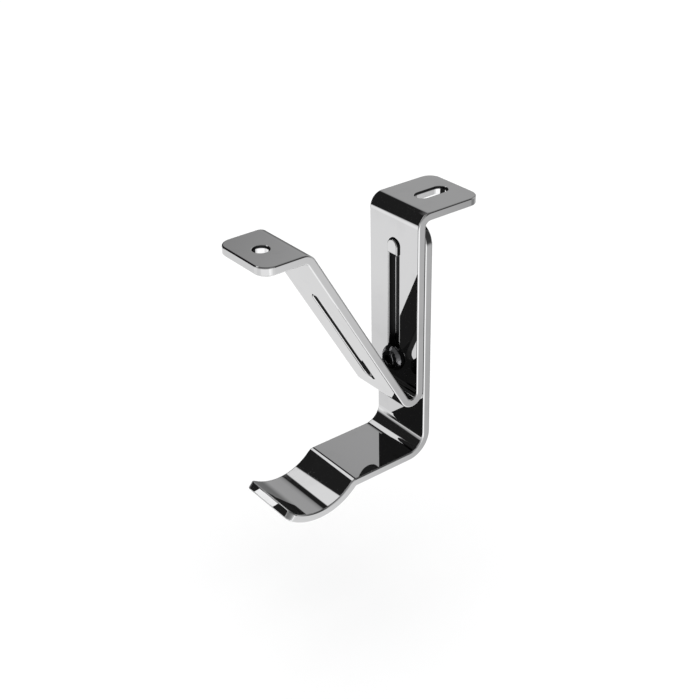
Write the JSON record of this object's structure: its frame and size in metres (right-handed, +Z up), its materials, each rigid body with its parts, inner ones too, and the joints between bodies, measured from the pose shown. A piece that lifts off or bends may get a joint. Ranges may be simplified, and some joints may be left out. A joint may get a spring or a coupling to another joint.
{
  "type": "headphone hook",
  "caption": "Under-desk headphone hook: a V-shaped bracket of bent polished strip with two screw flanges, and a J-shaped arm with a round cradle that slides down it.",
  "frame": {"origin": "centre of the round screw hole, on the mounting plane that both flange tops share", "axes": "+Z up towards the desk, +X from the round hole's flange to the slotted flange, Y across the strip's width; the part is symmetric about y = 0 apart from the screw's hardware"},
  "size_m": [0.087, 0.025, 0.0987],
  "materials": {
    "plated_strip": "mirror-polished bright chrome",
    "fastener_steel": "bright plated steel, slightly darker than the strips"
  },
  "bodies": {
    "bracket": {"mount_bracket": "plated_strip"},
    "arm": {"hook_arm": "plated_strip", "guide_key": "plated_strip"},
    "screw": {"clamp_screw": "fastener_steel"},
    "nut": {"hex_nut": "fastener_steel", "lock_washer": "fastener_steel", "flat_washer": "fastener_steel"}
  },
  "joints": [
    {"name": "arm_height", "type": "slide", "parent": "bracket", "child": "arm", "axis": [0, 0, -1], "range_m": [0, 0.034]},
    {"name": "screw_turn", "type": "hinge", "parent": "bracket", "child": "screw", "pos_m": [0.052, 0, -0.0571], "axis": [1, 0, 0], "continuous": true},
    {"name": "nut_turn", "type": "hinge", "parent": "screw", "child": "nut", "pos_m": [0.0622, 0, -0.0571], "axis": [1, 0, 0], "continuous": true}
  ]
}
